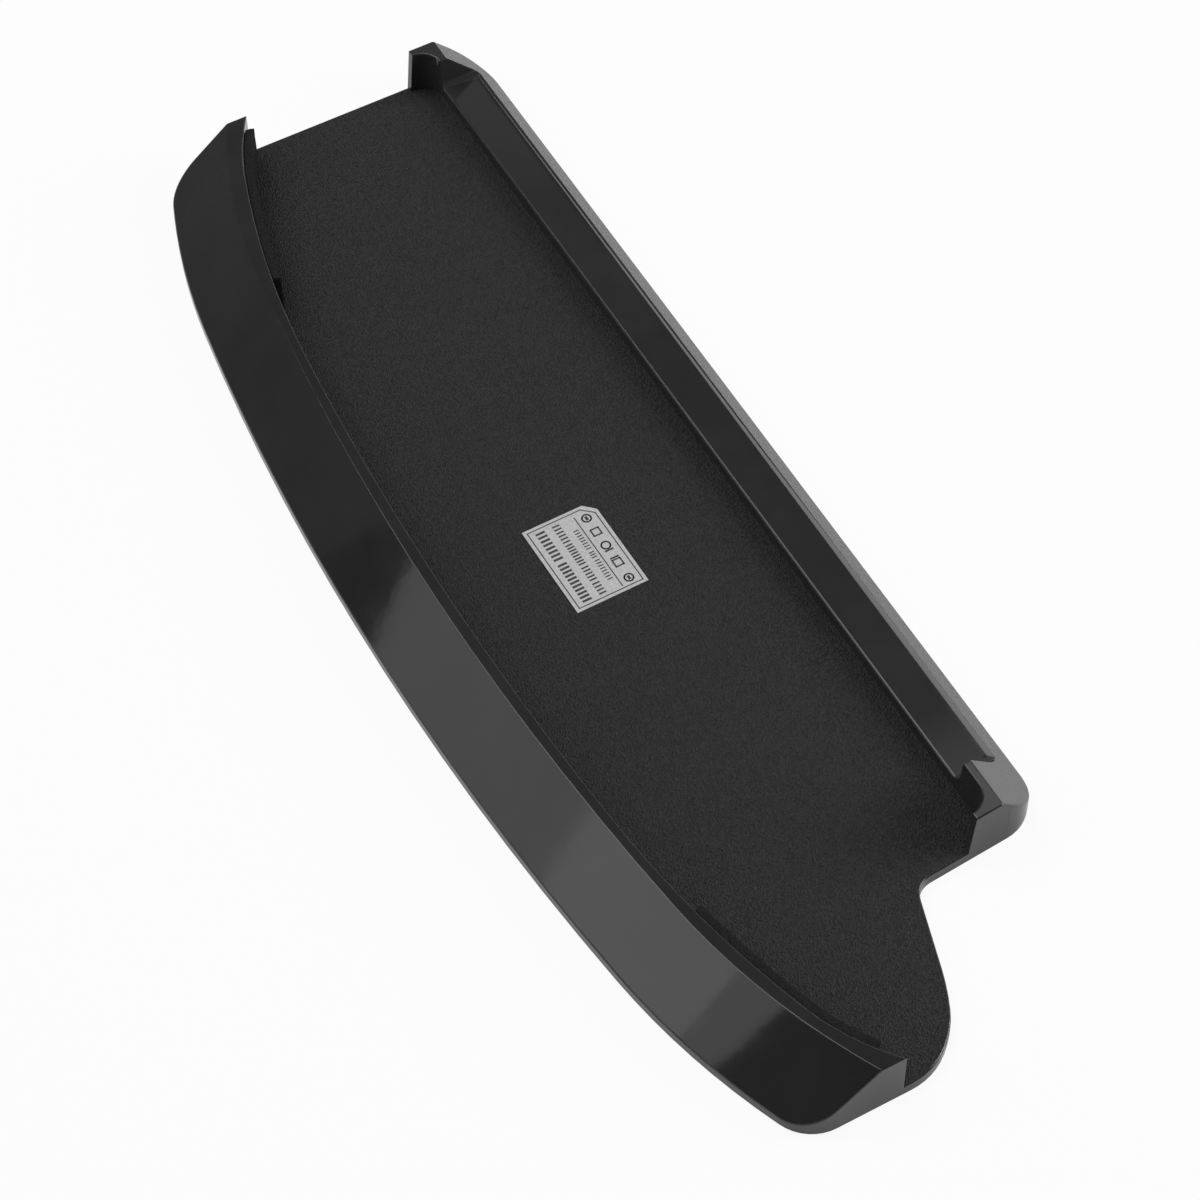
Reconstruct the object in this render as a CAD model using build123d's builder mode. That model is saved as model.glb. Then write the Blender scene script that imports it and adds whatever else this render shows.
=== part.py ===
import os
from math import asin, atan2, degrees, hypot, sin

from build123d import *

os.makedirs("parts", exist_ok=True)

# Vertical stand for a slim console that stands on its long edge.
# X runs along the stand, Y across it, Z up. Z = 0 is the table the feet stand on.
# Overall sizes in millimetres.
LENGTH = 244.0
WIDTH = 86.2
WALL_TOP = 12.5  # top of both walls above the underside of the moulding
PLATE = 2.5  # floor plate
BAND = 2.1  # upright band below the outer slopes
FOOT_OUT = 0.6  # the feet stand this far out of the underside

# Curved side: one long arc with a tighter arc at each end, rounded into the end faces.
SIDE_R = 610.0
SIDE_END_NEAR = 42.0  # the tighter arcs begin this far from each end
SIDE_END_FAR = 37.5
SIDE_END_R = 142.0
SIDE_CORNER_R = 8.6
CURVED_SLOPE_RUN = 12.0
CURVED_WALL = 14.2  # wall width at the floor, half way along
INNER_R = 680.0
INNER_END = 62.0
INNER_END_R = 203.0
HOOK = 16.0  # the inner face hooks inwards over this length at each end
HOOK_NEAR_R = 44.0
HOOK_FAR_R = 69.0

# Straight side: low between two end blocks that wrap the console's rounded corners.
STRAIGHT_WALL = 11.7
STRAIGHT_SLOPE_RUN = 10.25
FAR_CORNER_R = 7.9
NEAR_CORNER_R = 8.8
FAR_BLOCK = 5.6
NEAR_BLOCK = 10.2
NOSE_REACH = 16.7  # nose tips at the floor, in from the straight side
NOSE_DRAFT = 0.9
FAR_NOSE = 1.5  # thickness of the far nose
NEAR_NOSE = 1.05
POCKET_CORNER_R = 4.6
LEDGE = 5.4  # height of the low middle stretch
LEDGE_DIP = 0.35
LEDGE_EDGE_R = 0.5
FAR_COVE_R = 1.6
NEAR_COVE_R = 3.2

# Near end: the floor plate runs on past the near block as a rounded tongue.
TONGUE = 33.3
TONGUE_START = 1.7  # the tongue's curve starts this far past the curved wall's end
TONGUE_W = 20.9
TONGUE_TIP = (1.94, 6.8)  # points on its curve: in from the near end, up from the curve's start
TONGUE_SHOULDER = (8.6, 12.9)
TONGUE_NECK = (15.65, 15.8)
NOTCH_R = 4.6
NOTCH_SLANT = 1.25

# Edge roundings.
SLOPE_FOOT_R = 0.5
TOP_EDGE_R = 0.3
PLATE_EDGE_R = 0.4

# Fittings.
FOAM_T = 1.9
FOAM_NEAR_L = 39.0
FOAM_FAR_L = 40.4
FOAM_NEAR_PLACE = 0.86  # where the middle of each strip lies along the bend of the inner face
FOAM_FAR_PLACE = 0.875
FOAM_DROP = 0.4  # foam stops this far below the wall top
LABEL_L = 21.0
LABEL_W = 14.8
LABEL_OFF = (0.7, -0.1)  # off the middle of the stand
LABEL_T = 0.12
LABEL_CLIP = 2.1
FOOT_R = 4.0
FOOT_SEAT = 0.8
FOOT_END = 12.5
FOOT_CURVED_END = 36.0
FOOT_HOOK = 21.3  # outwards from the hooked ends of the inner face
FOOT_BOSS = 1.3

# Mould walls of the hollow underside.
SHELL = 2.0
RIB = 1.4
RIB_PITCH = 29.0


def heading(direction):
    return degrees(atan2(direction.Y, direction.X))


half = LENGTH / 2
side_y = -WIDTH / 2
block_y = WIDTH / 2
inner_y = side_y + CURVED_WALL
wall_y = block_y - STRAIGHT_WALL
z0 = FOOT_OUT
top = z0 + WALL_TOP
floor = z0 + PLATE
ledge = z0 + LEDGE
near_x = half - TONGUE  # near block's end at the straight side
slope_rise = WALL_TOP - BAND

# Plan of the console pocket: everything inside the curved wall's inner face.
inner_turn = asin((half - INNER_END) / INNER_R)
bend_end = asin((half - HOOK - (INNER_R - INNER_END_R) * sin(inner_turn)) / INNER_END_R)
near_hook_end = asin(sin(bend_end) + HOOK / HOOK_NEAR_R)
far_hook_end = asin(sin(bend_end) + HOOK / HOOK_FAR_R)
with BuildSketch() as pocket:
    with BuildLine():
        near_in = JernArc((0, inner_y), (1, 0), INNER_R, degrees(inner_turn))
        near_bend = JernArc(near_in @ 1, near_in % 1, INNER_END_R, degrees(bend_end - inner_turn))
        near_hook = JernArc(near_bend @ 1, near_bend % 1, HOOK_NEAR_R, degrees(near_hook_end - bend_end))
        far_in = JernArc((0, inner_y), (-1, 0), INNER_R, -degrees(inner_turn))
        far_bend = JernArc(far_in @ 1, far_in % 1, INNER_END_R, -degrees(bend_end - inner_turn))
        far_hook = JernArc(far_bend @ 1, far_bend % 1, HOOK_FAR_R, -degrees(far_hook_end - bend_end))
        near_y = (near_hook @ 1).Y
        far_y = (far_hook @ 1).Y
        Polyline(
            near_hook @ 1,
            (half + 6, near_y),
            (half + 6, block_y + 6),
            (-half - 6, block_y + 6),
            (-half - 6, far_y),
            far_hook @ 1,
        )
    make_face()

# Plan of the whole moulding.
near_turn = asin((half - SIDE_END_NEAR) / SIDE_R)
far_turn = asin((half - SIDE_END_FAR) / SIDE_R)
near_end_turn = asin((half + (SIDE_END_R - SIDE_R) * sin(near_turn)) / SIDE_END_R) - near_turn
far_end_turn = asin((half + (SIDE_END_R - SIDE_R) * sin(far_turn)) / SIDE_END_R) - far_turn
tongue_y = near_y + TONGUE_START
with BuildSketch(Plane.XY.offset(z0)) as outline:
    with BuildLine():
        near_mid = JernArc((0, side_y), (1, 0), SIDE_R, degrees(near_turn))
        near_end = JernArc(near_mid @ 1, near_mid % 1, SIDE_END_R, degrees(near_end_turn))
        far_mid = JernArc((0, side_y), (-1, 0), SIDE_R, -degrees(far_turn))
        far_end = JernArc(far_mid @ 1, far_mid % 1, SIDE_END_R, -degrees(far_end_turn))
        end_line = Line(near_end @ 1, (half, tongue_y))
        tip = TangentArc(end_line @ 1, (half - TONGUE_TIP[0], tongue_y + TONGUE_TIP[1]), tangent=(0, 1))
        shoulder = TangentArc(tip @ 1, (half - TONGUE_SHOULDER[0], tongue_y + TONGUE_SHOULDER[1]), tangent=tip % 1)
        neck = TangentArc(shoulder @ 1, (half - TONGUE_NECK[0], tongue_y + TONGUE_NECK[1]), tangent=shoulder % 1)
        Polyline(
            neck @ 1,
            (near_x + NOTCH_SLANT, tongue_y + TONGUE_W),
            (near_x - 0.6, block_y),
            (-half, block_y),
            far_end @ 1,
        )
    make_face()
    fillet(outline.vertices().sort_by_distance((near_x - 0.6, block_y, z0))[0], NEAR_CORNER_R)
    fillet(outline.vertices().sort_by_distance((-half, block_y, z0))[0], FAR_CORNER_R)
    fillet(outline.vertices().sort_by_distance((near_x + NOTCH_SLANT, tongue_y + TONGUE_W, z0))[0], NOTCH_R)
    fillet(outline.vertices().sort_by_distance((-half, (far_end @ 1).Y, z0))[0], SIDE_CORNER_R)
    fillet(outline.vertices().sort_by_distance((half, (near_end @ 1).Y, z0))[0], SIDE_CORNER_R)

# Outer slope of the curved wall, as the tool that shapes it: cones that follow the side's arcs.
curved_taper = degrees(atan2(CURVED_SLOPE_RUN, slope_rise))
with BuildPart() as curved_slope:
    with BuildSketch(Plane.XY.offset(z0 + BAND)):
        with Locations((0, side_y + CURVED_SLOPE_RUN)):
            Rectangle(LENGTH + 12, 2 * CURVED_SLOPE_RUN + 20)
    extrude(amount=slope_rise + 1)
    with BuildSketch(Plane.XY.offset(z0 + BAND)):
        with BuildLine():
            near_1 = JernArc((0, side_y), (1, 0), SIDE_R, degrees(near_turn))
            near_2 = JernArc(near_1 @ 1, near_1 % 1, SIDE_END_R, degrees(near_end_turn) + 12)
            far_1 = JernArc((0, side_y), (-1, 0), SIDE_R, -degrees(far_turn))
            far_2 = JernArc(far_1 @ 1, far_1 % 1, SIDE_END_R, -degrees(far_end_turn) - 12)
            Polyline(
                near_2 @ 1,
                ((near_2 @ 1).X, 2 * WIDTH),
                ((far_2 @ 1).X, 2 * WIDTH),
                far_2 @ 1,
            )
        make_face()
    extrude(amount=slope_rise + 1, taper=curved_taper, mode=Mode.SUBTRACT)

# Outer slope of the straight side.
slope_tan = STRAIGHT_SLOPE_RUN / slope_rise
with BuildPart() as straight_slope:
    with BuildSketch(Plane.YZ):
        Polygon(
            (block_y, z0 + BAND),
            (block_y + 4, z0 + BAND),
            (block_y + 4, top + 1),
            (block_y - slope_tan * (slope_rise + 1), top + 1),
            align=None,
        )
    extrude(amount=LENGTH, both=True)

# Low middle stretch of the straight side: a dished ledge with a rounded inner edge and coved ends.
ledge_x0 = -half + FAR_BLOCK
ledge_x1 = near_x - NEAR_BLOCK
ridge_y = block_y - slope_tan * (LEDGE - BAND)
with BuildPart() as ledge_cut:
    with BuildSketch(Plane.YZ):
        with BuildLine():
            edge = RadiusArc((wall_y, ledge - LEDGE_EDGE_R), (wall_y + LEDGE_EDGE_R, ledge), LEDGE_EDGE_R)
            dish = Line(edge @ 1, (ridge_y - 1.3, ledge - LEDGE_DIP))
            lip = TangentArc(dish @ 1, (ridge_y, ledge), tangent=dish % 1)
            Polyline(
                lip @ 1,
                (block_y + 2, ledge),
                (block_y + 2, top + 1),
                (wall_y - 4, top + 1),
                (wall_y - 4, ledge - LEDGE_EDGE_R),
                edge @ 0,
            )
        make_face()
    extrude(amount=LENGTH, both=True)
    with BuildSketch(Plane.XZ) as coves:
        with BuildLine():
            Polyline(
                (ledge_x0, top + 1),
                (ledge_x0 + 0.3, ledge - LEDGE_DIP),
                (ledge_x1 - 0.8, ledge - LEDGE_DIP),
                (ledge_x1, top + 1),
                close=True,
            )
        make_face()
        fillet(coves.vertices().sort_by_distance((ledge_x0, 0, ledge - LEDGE_DIP))[0], FAR_COVE_R)
        fillet(coves.vertices().sort_by_distance((ledge_x1, 0, ledge - LEDGE_DIP))[0], NEAR_COVE_R)
    extrude(amount=WIDTH, both=True, mode=Mode.INTERSECT)

# Plans of the two walls.
nose_y = block_y - NOSE_REACH
with BuildSketch(Plane.XY.offset(z0)) as curved_plan:
    add(outline.sketch_local)
    add(pocket.sketch_local, mode=Mode.SUBTRACT)

with BuildSketch(Plane.XY.offset(z0)) as straight_plan:
    add(outline.sketch_local)
    with Locations((near_x + NOTCH_SLANT, nose_y)):
        Rectangle(2 * LENGTH, WIDTH, align=(Align.MAX, Align.MIN), mode=Mode.INTERSECT)
    with Locations((-half + FAR_NOSE, wall_y)):
        RectangleRounded(
            near_x - NEAR_NOSE - (FAR_NOSE - half),
            WIDTH,
            POCKET_CORNER_R,
            align=(Align.MIN, Align.MAX),
            mode=Mode.SUBTRACT,
        )

# The draft on the nose tips.
with BuildPart() as nose_draft:
    with BuildSketch(Plane.YZ):
        Polygon(
            (nose_y, floor),
            (nose_y + NOSE_DRAFT * 1.1, top + NOSE_DRAFT),
            (nose_y - 3, top + NOSE_DRAFT),
            (nose_y - 3, floor),
            align=None,
        )
    extrude(amount=LENGTH, both=True)

# Foot places: a solid boss in the hollow of each wall, near each corner.
foot_spots = [
    (-half + FOOT_END, wall_y + STRAIGHT_WALL / 2),
    (near_x - FOOT_END, wall_y + STRAIGHT_WALL / 2),
    (-half + FOOT_CURVED_END, far_y - FOOT_HOOK),
    (half - FOOT_CURVED_END, near_y - FOOT_HOOK),
]
ribs = int(LENGTH / RIB_PITCH)

# Hollow under the curved wall.
shell_drop = SHELL * hypot(CURVED_SLOPE_RUN, slope_rise) / CURVED_SLOPE_RUN
with BuildPart() as curved_hollow:
    with BuildSketch(Plane.XY.offset(z0 - 1)):
        add(curved_plan.sketch_local)
        offset(amount=-SHELL)
    extrude(amount=WALL_TOP - SHELL + 1)
    with Locations((0, 0, -shell_drop)):
        add(curved_slope.part, mode=Mode.SUBTRACT)
    with GridLocations(RIB_PITCH, 1, ribs, 1):
        Box(RIB, WIDTH * 2, 4 * WALL_TOP, mode=Mode.SUBTRACT)
    with Locations(foot_spots):
        Cylinder(FOOT_R + FOOT_BOSS, 4 * WALL_TOP, mode=Mode.SUBTRACT)

# Hollow under the straight side.
with BuildPart() as straight_hollow:
    with BuildSketch(Plane.XY.offset(z0 - 1)):
        add(outline.sketch_local)
        offset(amount=-SHELL)
        with Locations((0, wall_y + SHELL)):
            Rectangle(2 * LENGTH, WIDTH, align=(Align.CENTER, Align.MIN), mode=Mode.INTERSECT)
    extrude(amount=WALL_TOP - SHELL + 1)
    with Locations((0, 0, -SHELL * hypot(1, slope_tan) / slope_tan)):
        add(straight_slope.part, mode=Mode.SUBTRACT)
    with Locations((0, 0, -SHELL)):
        add(ledge_cut.part, mode=Mode.SUBTRACT)
    with GridLocations(RIB_PITCH, 1, ribs, 1):
        Box(RIB, WIDTH * 2, 4 * WALL_TOP, mode=Mode.SUBTRACT)
    with Locations(foot_spots):
        Cylinder(FOOT_R + FOOT_BOSS, 4 * WALL_TOP, mode=Mode.SUBTRACT)

# The moulding: floor plate, curved wall and straight side in one piece.
with BuildPart() as body:
    with BuildSketch(Plane.XY.offset(z0)):
        add(outline.sketch_local)
    extrude(amount=PLATE)
    with BuildSketch(Plane.XY.offset(z0)):
        add(curved_plan.sketch_local)
    extrude(amount=WALL_TOP)
    with BuildSketch(Plane.XY.offset(z0)):
        add(straight_plan.sketch_local)
    extrude(amount=WALL_TOP)
    add(curved_slope.part, mode=Mode.SUBTRACT)
    add(straight_slope.part, mode=Mode.SUBTRACT)
    add(ledge_cut.part, mode=Mode.SUBTRACT)
    add(nose_draft.part, mode=Mode.SUBTRACT)
    slope_foot = body.edges().filter_by_position(Axis.Z, z0 + BAND - 0.01, z0 + BAND + 0.01)
    fillet(slope_foot.filter_by(GeomType.CIRCLE), SLOPE_FOOT_R)
    slope_foot = body.edges().filter_by_position(Axis.Z, z0 + BAND - 0.01, z0 + BAND + 0.01)
    fillet(slope_foot.filter_by(GeomType.LINE).filter_by(Axis.X), SLOPE_FOOT_R)
    fillet(body.edges().filter_by_position(Axis.Z, top - 0.01, top + 0.01), TOP_EDGE_R)
    plate_edge = body.edges().filter_by_position(Axis.Z, floor - 0.01, floor + 0.01)
    fillet(
        plate_edge.filter_by(lambda e: (e @ 0.5).X > near_x + 0.2 and (e @ 0.5).Y > near_y)
        + plate_edge.filter_by(lambda e: (e @ 0.5).X < 0.01 - half),
        PLATE_EDGE_R,
    )
    add(curved_hollow.part, mode=Mode.SUBTRACT)
    add(straight_hollow.part, mode=Mode.SUBTRACT)
    with Locations([(x, y, z0) for x, y in foot_spots]):
        Cylinder(FOOT_R + 0.15, 2 * FOOT_SEAT, mode=Mode.SUBTRACT)

body.part.label = "body"
export_step(body.part, "parts/body.step")

# Foam strips stuck to the ends of the curved wall's inner face.
foam_h = WALL_TOP - PLATE - FOAM_DROP
with BuildPart() as foam_strip_near:
    with BuildSketch(Plane.XY.offset(floor)):
        add(pocket.sketch_local)
        offset(amount=-FOAM_T, mode=Mode.SUBTRACT)
        with Locations(near_bend @ FOAM_NEAR_PLACE):
            Rectangle(FOAM_NEAR_L, 9 * FOAM_T, rotation=heading(near_bend % FOAM_NEAR_PLACE), mode=Mode.INTERSECT)
    extrude(amount=foam_h)
foam_strip_near.part.label = "foam_strip_near"
export_step(foam_strip_near.part, "parts/foam_strip_near.step")

with BuildPart() as foam_strip_far:
    with BuildSketch(Plane.XY.offset(floor)):
        add(pocket.sketch_local)
        offset(amount=-FOAM_T, mode=Mode.SUBTRACT)
        with Locations(far_bend @ FOAM_FAR_PLACE):
            Rectangle(FOAM_FAR_L, 9 * FOAM_T, rotation=heading(far_bend % FOAM_FAR_PLACE), mode=Mode.INTERSECT)
    extrude(amount=foam_h)
foam_strip_far.part.label = "foam_strip_far"
export_step(foam_strip_far.part, "parts/foam_strip_far.step")

# Paper label on the floor plate, one corner clipped.
with BuildPart() as label:
    with BuildSketch(Plane.XY.offset(floor)) as label_plan:
        with Locations(LABEL_OFF):
            Rectangle(LABEL_L, LABEL_W, rotation=0.6)
        chamfer(label_plan.vertices().sort_by_distance((-LABEL_L, LABEL_W, floor))[0], LABEL_CLIP)
    extrude(amount=LABEL_T)
label.part.label = "label"
export_step(label.part, "parts/label.step")

# Rubber feet, each seated in its own recess.
for name, spot in zip(("foot_far_straight", "foot_near_straight", "foot_far_curved", "foot_near_curved"), foot_spots):
    with BuildPart() as foot:
        with Locations((spot[0], spot[1], 0)):
            Cylinder(FOOT_R, FOOT_OUT + FOOT_SEAT, align=(Align.CENTER, Align.CENTER, Align.MIN))
        chamfer(foot.edges().sort_by(Axis.Z)[0], FOOT_OUT / 2)
    foot.part.label = name
    export_step(foot.part, f"parts/{name}.step")
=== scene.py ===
import math

import bmesh
import bpy
from mathutils import Matrix, Vector, noise


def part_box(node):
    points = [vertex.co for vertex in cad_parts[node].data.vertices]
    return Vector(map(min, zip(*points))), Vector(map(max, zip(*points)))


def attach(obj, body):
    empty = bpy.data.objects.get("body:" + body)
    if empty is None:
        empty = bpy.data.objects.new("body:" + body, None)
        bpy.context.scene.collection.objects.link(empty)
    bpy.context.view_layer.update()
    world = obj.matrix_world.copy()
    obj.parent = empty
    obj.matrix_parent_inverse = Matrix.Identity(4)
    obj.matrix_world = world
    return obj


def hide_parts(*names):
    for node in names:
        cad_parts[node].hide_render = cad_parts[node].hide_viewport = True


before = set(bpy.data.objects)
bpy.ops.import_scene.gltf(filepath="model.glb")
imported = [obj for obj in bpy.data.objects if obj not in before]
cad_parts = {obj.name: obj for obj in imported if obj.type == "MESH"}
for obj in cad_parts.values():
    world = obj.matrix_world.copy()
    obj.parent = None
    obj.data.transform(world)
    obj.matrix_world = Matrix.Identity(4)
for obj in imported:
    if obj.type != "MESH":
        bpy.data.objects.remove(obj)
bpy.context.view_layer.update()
scene = bpy.context.scene
scene.view_settings.view_transform = "Standard"


# The photographer's table: a pale paper sweep, with the camera looking down along the stand
# from its near end. A high box at the far end and one at the near straight side carry most
# of the light, a round light glows at the curved side, and dim boxes fill in between.
camera = bpy.data.objects.new("camera", bpy.data.cameras.new("camera"))
camera.data.sensor_width = 36.0
camera.data.lens = 103.317
camera.data.clip_start = 0.01
camera.location = (0.336980, -0.175489, 0.507060)
camera.rotation_euler = (math.radians(36.22991), math.radians(0.82061), math.radians(60.94436))
scene.collection.objects.link(camera)
scene.camera = camera

paper = bmesh.new()
bmesh.ops.create_circle(paper, cap_ends=True, radius=6.0, segments=96)
paper_mesh = bpy.data.meshes.new("paper_sweep")
paper.to_mesh(paper_mesh)
paper.free()
paper_sweep = bpy.data.objects.new("paper_sweep", paper_mesh)
scene.collection.objects.link(paper_sweep)


def new_finish(name):
    """A new material and its shader."""
    finish = bpy.data.materials.new(name)
    finish.use_nodes = True
    return finish, finish.node_tree.nodes["Principled BSDF"]


def combined(operation, *parts):
    """One value worked out from a socket and further sockets or plain numbers."""
    tree = parts[0].id_data
    total = tree.nodes.new("ShaderNodeMath")
    total.operation = operation
    for entry, part in zip(total.inputs, parts):
        if isinstance(part, float):
            entry.default_value = part
        else:
            tree.links.new(part, entry)
    return total.outputs[0]


white_to_camera = 0.92
white_in_gloss = 0.3
paper_finish, paper_shader = new_finish("white_paper")
paper_nodes = paper_finish.node_tree.nodes
paper_links = paper_finish.node_tree.links
paper_shader.inputs["Base Color"].default_value = (0.9, 0.9, 0.9, 1)
paper_shader.inputs["Roughness"].default_value = 0.9
paper_shader.inputs["Specular IOR Level"].default_value = 0.1
paper_white = paper_nodes.new("ShaderNodeEmission")
paper_white.inputs["Color"].default_value = (1, 1, 1, 1)
paper_white.inputs["Strength"].default_value = 1.0
seen_by = paper_nodes.new("ShaderNodeLightPath").outputs
mirrored_white = combined("MULTIPLY", seen_by["Is Glossy Ray"], white_in_gloss)
white_share = combined("MULTIPLY_ADD", seen_by["Is Camera Ray"], white_to_camera, mirrored_white)
paper_mix = paper_nodes.new("ShaderNodeMixShader")
paper_links.new(white_share, paper_mix.inputs["Fac"])
paper_links.new(paper_shader.outputs[0], paper_mix.inputs[1])
paper_links.new(paper_white.outputs[0], paper_mix.inputs[2])
paper_links.new(paper_mix.outputs[0], paper_nodes["Material Output"].inputs["Surface"])
paper_mesh.materials.append(paper_finish)

room = bpy.data.worlds.new("room")
room.use_nodes = True
room.node_tree.nodes["Background"].inputs["Color"].default_value = (1, 1, 1, 1)
room.node_tree.nodes["Background"].inputs["Strength"].default_value = 0.04
scene.world = room


def soft_box(name, place, aim, width, height, power, shape="RECTANGLE"):
    """An area lamp hung at a place in metres and turned towards its aim."""
    lamp = bpy.data.lights.new(name, "AREA")
    lamp.shape = shape
    lamp.size = width
    lamp.size_y = height
    lamp.energy = power
    holder = bpy.data.objects.new(name, lamp)
    holder.location = place
    holder.rotation_euler = (Vector(aim) - Vector(place)).to_track_quat("-Z", "Y").to_euler()
    scene.collection.objects.link(holder)


soft_box("curved_side_disc", (-0.345, -0.90, 0.79), (-0.345, 0.0, 0.79), 1.0, 1.0, 2.6, "ELLIPSE")
soft_box("curved_side_heart", (-0.19, -0.88, 0.50), (-0.19, 0.0, 0.50), 0.32, 0.32, 0.16, "ELLIPSE")
soft_box("high_far_box", (-0.45, -0.35, 1.25), (0.0, 0.0, 0.0), 0.9, 0.9, 8.4)
soft_box("near_overhead_box", (0.30, -0.05, 1.25), (0.05, 0.0, 0.0), 0.45, 0.45, 1.3)
soft_box("high_straight_side_box", (-0.30, 0.72, 1.1), (-0.30, 0.72, 0.0), 0.44, 0.62, 1.05)
soft_box("far_end_box", (-0.966, 0.40, 0.55), (0.0, 0.14, 0.45), 1.1, 0.72, 0.7)
soft_box("near_straight_box", (0.45, 1.00, 0.55), (0.0, 0.0, 0.0), 0.7, 0.7, 9.0)
soft_box("far_curved_panel", (-1.65, -0.90, 0.45), (-1.65, 0.0, 0.45), 1.85, 0.8, 0.46)


# Moulding: one injection moulding in black ABS. The tool is spark-eroded to a fine grain over
# the floor plate, faintly so on the straight slope, and polished to a satin sheen elsewhere.
# It stays the CAD's own mesh, with the finish split by height and by the way a surface faces.
moulded_abs, abs_shader = new_finish("moulded_abs")
abs_nodes = moulded_abs.node_tree.nodes
abs_links = moulded_abs.node_tree.links


def place_on(shader):
    """Where a point of the piece lies, in metres."""
    return shader.id_data.nodes.new("ShaderNodeTexCoord").outputs["Object"]


millimetres = abs_nodes.new("ShaderNodeMapping")
millimetres.inputs["Scale"].default_value = (1000, 1000, 1000)
abs_links.new(place_on(abs_shader), millimetres.inputs["Vector"])
abs_place = millimetres.outputs[0]
place_parts = abs_nodes.new("ShaderNodeSeparateXYZ")
abs_links.new(abs_place, place_parts.inputs[0])
height = place_parts.outputs["Z"]
facing = abs_nodes.new("ShaderNodeNewGeometry").outputs["Normal"]
facing_parts = abs_nodes.new("ShaderNodeSeparateXYZ")
abs_links.new(facing, facing_parts.inputs[0])
facing_up = facing_parts.outputs["Z"]
facing_straight_side = facing_parts.outputs["Y"]


def graded(value, from_low, from_high, to_low, to_high):
    """A value taken from one range over to another, and held within that."""
    tree = value.id_data
    grade = tree.nodes.new("ShaderNodeMapRange")
    grade.inputs["From Min"].default_value = from_low
    grade.inputs["From Max"].default_value = from_high
    grade.inputs["To Min"].default_value = to_low
    grade.inputs["To Max"].default_value = to_high
    tree.links.new(value, grade.inputs["Value"])
    return grade.outputs[0]


# Heights are in millimetres above the table.
floor_top = 3.1
rim_top = 13.1
slope_grain_share = 0.16
level_enough = graded(facing_up, 0.93, 0.98, 0.0, 1.0)
low_enough = graded(height, floor_top + 0.2, floor_top + 0.1, 0.0, 1.0)
floor_plate = combined("MULTIPLY", low_enough, level_enough)
facing_out = graded(facing_straight_side, 0.35, 0.5, 0.0, slope_grain_share)
tilted_up = graded(facing_up, 0.2, 0.4, 0.0, 1.0)
straight_slope = combined("MULTIPLY", facing_out, tilted_up)
grained = combined("MAXIMUM", floor_plate, straight_slope)


def where_grained(polished_value, grained_value):
    """One value on the polished faces and the other where the tool is grained."""
    split = abs_nodes.new("ShaderNodeMix")
    split.data_type = "FLOAT"
    abs_links.new(grained, split.inputs["Factor"])
    abs_links.new(polished_value, split.inputs["A"])
    abs_links.new(grained_value, split.inputs["B"])
    return split.outputs["Result"]


def mottle(place, scale, detail, roughness=0.5):
    """Uneven patches over a piece, from 0 to 1."""
    tree = place.id_data
    patches = tree.nodes.new("ShaderNodeTexNoise")
    patches.inputs["Scale"].default_value = scale
    patches.inputs["Detail"].default_value = detail
    patches.inputs["Roughness"].default_value = roughness
    tree.links.new(place, patches.inputs["Vector"])
    return patches.outputs["Fac"]


def small_cells(place, scale):
    """How far a point is from the middle of its small round cell."""
    tree = place.id_data
    cell = tree.nodes.new("ShaderNodeTexVoronoi")
    cell.feature = "F1"
    cell.inputs["Scale"].default_value = scale
    tree.links.new(place, cell.inputs["Vector"])
    return cell.outputs["Distance"]


def relief(shader, depth, strength, distance):
    """Pits and ripples of that depth on a finish."""
    tree = shader.id_data
    bump = tree.nodes.new("ShaderNodeBump")
    bump.inputs["Strength"].default_value = strength
    bump.inputs["Distance"].default_value = distance
    tree.links.new(depth, bump.inputs["Height"])
    tree.links.new(bump.outputs[0], shader.inputs["Normal"])
    return bump


polish_ripple_share = 0.012
grain_pits = mottle(abs_place, scale=2.7, detail=1.5, roughness=0.6)
grain_depth = combined("ADD", grain_pits, small_cells(abs_place, scale=3.0))
polish_ripple = mottle(abs_place, scale=0.35, detail=2.0)
polish_depth = combined("MULTIPLY", polish_ripple, polish_ripple_share)
surface_depth = where_grained(polish_depth, grain_depth)
abs_relief = relief(abs_shader, surface_depth, strength=1.0, distance=0.00034)
broken_edges = abs_nodes.new("ShaderNodeBevel")
broken_edges.samples = 4
broken_edges.inputs["Radius"].default_value = 0.00011
abs_links.new(broken_edges.outputs[0], abs_relief.inputs["Normal"])

# The ledge's level top, well below the rims, is rubbed duller than the rest of the polish.
ledge_rub = 0.07
handled = mottle(abs_place, scale=0.045, detail=5.0, roughness=0.65)
satin = graded(handled, 0.3, 0.7, 0.04, 0.075)
below_rims = graded(height, rim_top - 0.7, rim_top - 1.2, 0.0, ledge_rub)
rubbed_ledge = combined("MULTIPLY_ADD", below_rims, level_enough, satin)
matt = graded(grain_pits, 0.3, 0.7, 0.6, 0.8)
abs_links.new(where_grained(rubbed_ledge, matt), abs_shader.inputs["Roughness"])


def grey_colour(shader, tone):
    """One tone for all three channels of a finish."""
    tree = shader.id_data
    colour = tree.nodes.new("ShaderNodeCombineColor")
    for channel in ("Red", "Green", "Blue"):
        tree.links.new(tone, colour.inputs[channel])
    tree.links.new(colour.outputs[0], shader.inputs["Base Color"])


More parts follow.
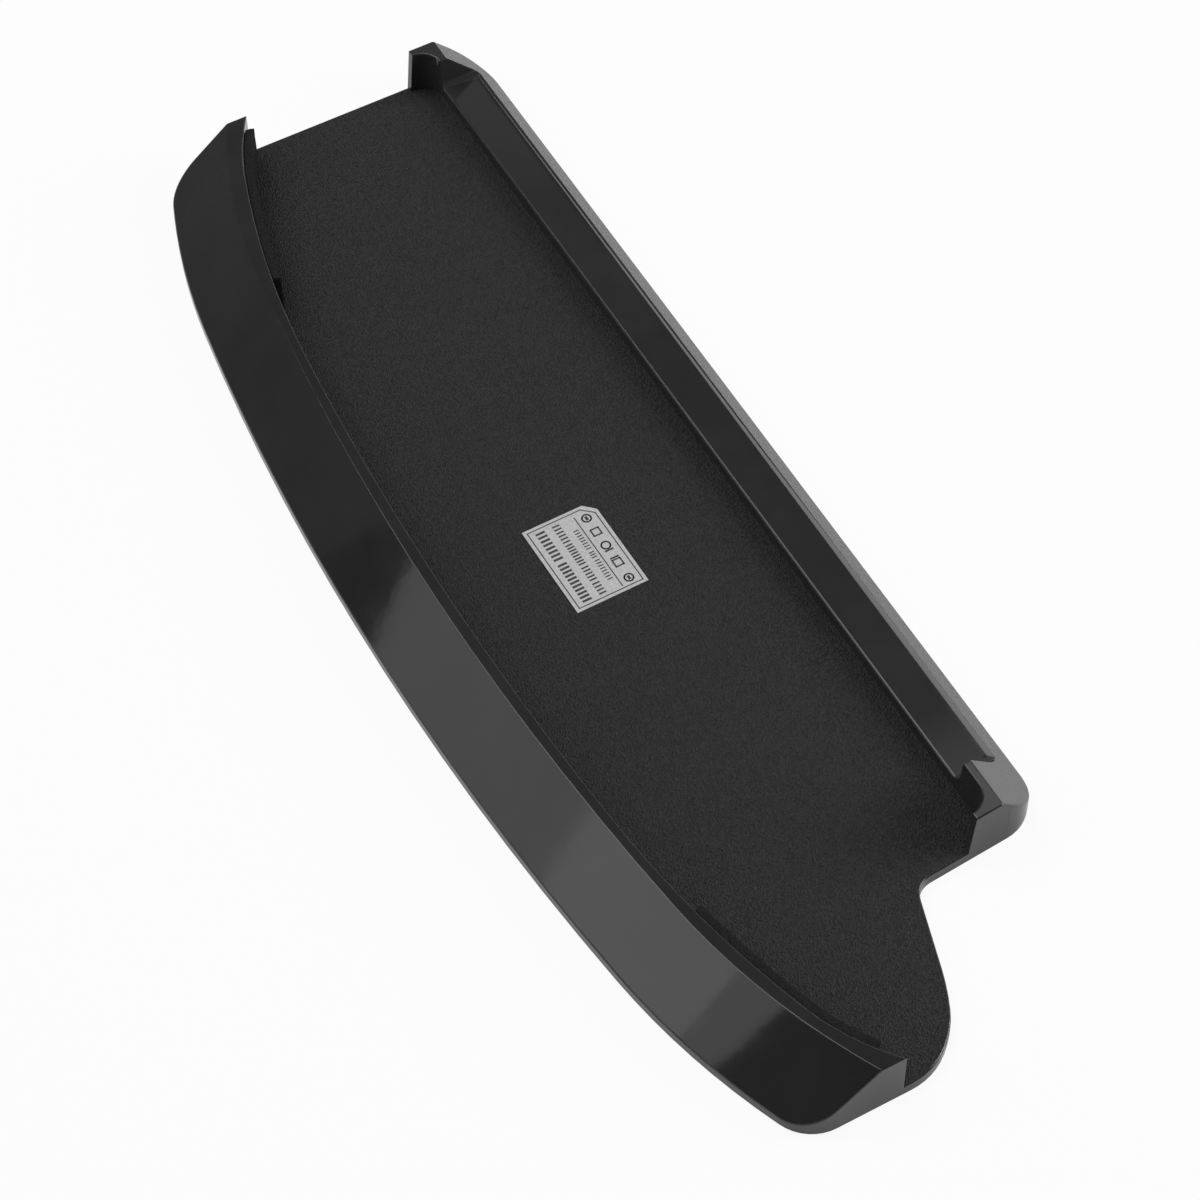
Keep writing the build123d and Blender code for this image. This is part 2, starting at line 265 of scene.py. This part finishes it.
# Painted sheen: the straight slope is painted lighter in speckles that follow its grain, standing
# in
# for the light it reflects. Painted light: the faces turned back towards the middle of the stand,
# such as the pocket's inner faces, are painted lighter.
slope_sheen_share = 0.5
inner_light_share = 0.03
polished_tint = graded(handled, 0.3, 0.7, 0.022, 0.030)
grained_tint = graded(grain_pits, 0.36, 0.66, 0.008, 0.031)
abs_tint = where_grained(polished_tint, grained_tint)
# Painted sheen on the straight slope, lighter in the pits of its grain.
slope_painted_sheen = combined("MULTIPLY", straight_slope, grain_pits)
tint_with_painted_sheen = combined("MULTIPLY_ADD", slope_painted_sheen, slope_sheen_share, abs_tint)
# Painted light: a face is painted lighter where it turns back towards the stand's middle.
turned_out = abs_nodes.new("ShaderNodeVectorMath")
turned_out.operation = "DOT_PRODUCT"
abs_links.new(abs_place, turned_out.inputs[0])
abs_links.new(facing, turned_out.inputs[1])
inner_painted_light = graded(turned_out.outputs["Value"], -6.0, -12.0, 0.0, inner_light_share)
grey_colour(abs_shader, combined("MULTIPLY_ADD", inner_painted_light, grain_pits, tint_with_painted_sheen))
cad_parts["body"].material_slots[0].material = moulded_abs


# Foam strips: closed-cell black sponge, die-cut into strips with adhesive on one face and
# pressed onto the curved wall's inner face near each end. The cut edges are slightly crushed
# and the open face shows its cells.
sponge, sponge_shader = new_finish("black_sponge")
sponge_shader.inputs["Roughness"].default_value = 0.95
sponge_shader.inputs["Specular IOR Level"].default_value = 0.2
sponge_cells = small_cells(place_on(sponge_shader), scale=2600)
relief(sponge_shader, sponge_cells, strength=0.9, distance=0.00012)
grey_colour(sponge_shader, graded(sponge_cells, 0.0, 0.8, 0.007, 0.018))

# Pits are counted per metre, and depths are in metres.
fine_pits = 1600
fine_pit_depth = 0.00003
wide_pits = 260
wide_pit_depth = 0.00004
crush_depth = 0.00005
for end in ("near", "far"):
    cut_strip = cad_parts["foam_strip_" + end]
    strip = bpy.data.objects.new("sponge_strip_" + end, cut_strip.data.copy())
    scene.collection.objects.link(strip)
    strip.data.materials.clear()
    strip.data.materials.append(sponge)
    cells = strip.modifiers.new("cells", "REMESH")
    cells.mode = "VOXEL"
    cells.voxel_size = 0.0003
    crushed = strip.modifiers.new("crushed_edges", "SMOOTH")
    crushed.factor = 0.5
    crushed.iterations = 3
    bpy.context.view_layer.update()
    shaped = strip.evaluated_get(bpy.context.evaluated_depsgraph_get())
    soft = bpy.data.meshes.new_from_object(shaped)
    strip.modifiers.clear()
    strip.data = soft
    low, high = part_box("foam_strip_" + end)
    cell_tops = []
    for point in soft.vertices:
        fine_pit = noise.noise(point.co * fine_pits) * fine_pit_depth
        wide_pit = noise.noise(point.co * wide_pits) * wide_pit_depth
        top = point.co + point.normal * (fine_pit + wide_pit - crush_depth)
        cell_tops.extend(min(max(top[axis], low[axis]), high[axis]) for axis in range(3))
    soft.vertices.foreach_set("co", cell_tops)
    for face in soft.polygons:
        face.use_smooth = True
    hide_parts("foam_strip_" + end)
    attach(strip, "root")


# Label: silver-white polyester film with one clipped corner, stuck to the floor plate.
# It is printed in dark ink with a border, one rule, and plain bars and shapes.
# The film keeps the CAD's solid and the print is a film of ink on its top.
film, film_shader = new_finish("silver_film")
film_shader.inputs["Roughness"].default_value = 0.42
film_speckle = mottle(place_on(film_shader), scale=2600, detail=2.0)
relief(film_shader, film_speckle, strength=0.4, distance=0.00001)
grey_colour(film_shader, graded(film_speckle, 0.3, 0.7, 0.47, 0.59))
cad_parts["label"].material_slots[0].material = film

ink, ink_shader = new_finish("print_ink")
ink_shader.inputs["Roughness"].default_value = 0.5
ink_wear = mottle(place_on(ink_shader), scale=1800, detail=3.0)
grey_colour(ink_shader, graded(ink_wear, 0.35, 0.75, 0.02, 0.07))

ink_sheet = bmesh.new()


def printed_line(points, width):
    """One printed line through points in millimetres from the label's centre."""
    for start, end in zip(points, points[1:]):
        run = (Vector(end) - Vector(start)).normalized()
        side = Vector((-run.y, run.x)) * width / 2
        over = run * width / 2
        tail = Vector(start) - over
        tip = Vector(end) + over
        corners = []
        for spot in (tail + side, tail - side, tip - side, tip + side):
            corners.append(ink_sheet.verts.new((spot.x, spot.y, 0)))
        ink_sheet.faces.new(corners)


thin_line = 0.22
border = [(-9.8, -6.65), (9.8, -6.65), (9.8, 6.65), (-7.9, 6.65), (-9.8, 4.5), (-9.8, -6.65)]
printed_line(border, thin_line)
printed_line([(-8.7, 2.65), (9.2, 2.65)], thin_line)

# A row of blocks has its level, a block's height, width and pitch, and where each run of
# blocks starts and ends.
block_rows = (
    (-4.5, 1.9, 0.5, 0.95, ((-8.7, -1.9), (-0.4, 8.8))),
    (-1.25, 1.5, 0.36, 0.75, ((-8.7, -4.6), (-3.7, 1.2), (2.2, 5.3), (6.3, 8.8))),
    (1.5, 1.1, 0.26, 0.65, ((-5.9, -1.2), (-0.2, 1.0), (1.9, 6.7))),
)
for level, tall, wide, pitch, runs in block_rows:
    for start, end in runs:
        blocks = round((end - start) / pitch) + 1
        for block in range(blocks):
            across = start + (end - start) * block / (blocks - 1)
            reach = (tall - wide) / 2
            printed_line([(across, level - reach), (across, level + reach)], wide)

mark_level = 4.6
ring_radius = 0.85
ring_line = 0.3
ring_turns = [math.radians(step * 20) for step in range(19)]
for middle in (-7.5, -0.3, 8.2):
    ring = []
    for turn in ring_turns:
        across = middle + ring_radius * math.cos(turn)
        ring.append((across, mark_level + ring_radius * math.sin(turn)))
    printed_line(ring, ring_line)

square_reach = 0.8
square_foot = 3.8
square_head = 5.4
square_line = 0.32
for middle in (-3.9, 4.2):
    left = middle - square_reach
    right = middle + square_reach
    square = [(left, square_foot), (right, square_foot), (right, square_head)]
    square += [(left, square_head), (left, square_foot)]
    printed_line(square, square_line)

upright_line = 0.4
for middle in (0.95, 2.9):
    printed_line([(middle, 3.9), (middle, 5.3)], upright_line)
dash_line = 0.55
for start, end in ((-7.7, -7.3), (8.0, 8.4)):
    printed_line([(start, mark_level), (end, mark_level)], dash_line)

ink_mesh = bpy.data.meshes.new("label_print")
ink_sheet.to_mesh(ink_mesh)
ink_sheet.free()
ink_mesh.materials.append(ink)
millimetre = 0.001
label_turn = math.radians(0.6)
ink_thickness = 0.006 * millimetre
label_low, label_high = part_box("label")
label_centre = (label_low + label_high) / 2
print_place = (label_centre.x, label_centre.y, label_high.z + ink_thickness)
ink_mesh.transform(Matrix.Rotation(label_turn, 4, "Z") @ Matrix.Scale(millimetre, 4))
ink_mesh.transform(Matrix.Translation(print_place))
label_print = bpy.data.objects.new("label_print", ink_mesh)
scene.collection.objects.link(label_print)
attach(label_print, "root")


# Feet: four discs of black rubber under the moulding, punched from sheet and glued
# into round recesses. Dust lies on them in patches, a little greyer than the rubber.
rubber, rubber_shader = new_finish("foot_rubber_black")
rubber_dust = mottle(place_on(rubber_shader), scale=900, detail=4.0)
grey_colour(rubber_shader, graded(rubber_dust, 0.35, 0.7, 0.014, 0.032))
rubber_grip = graded(rubber_dust, 0.0, 1.0, 0.7, 0.9)
rubber.node_tree.links.new(rubber_grip, rubber_shader.inputs["Roughness"])
relief(rubber_shader, rubber_dust, strength=0.5, distance=0.00004)
for foot in ("foot_far_straight", "foot_near_straight", "foot_far_curved", "foot_near_curved"):
    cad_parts[foot].material_slots[0].material = rubber
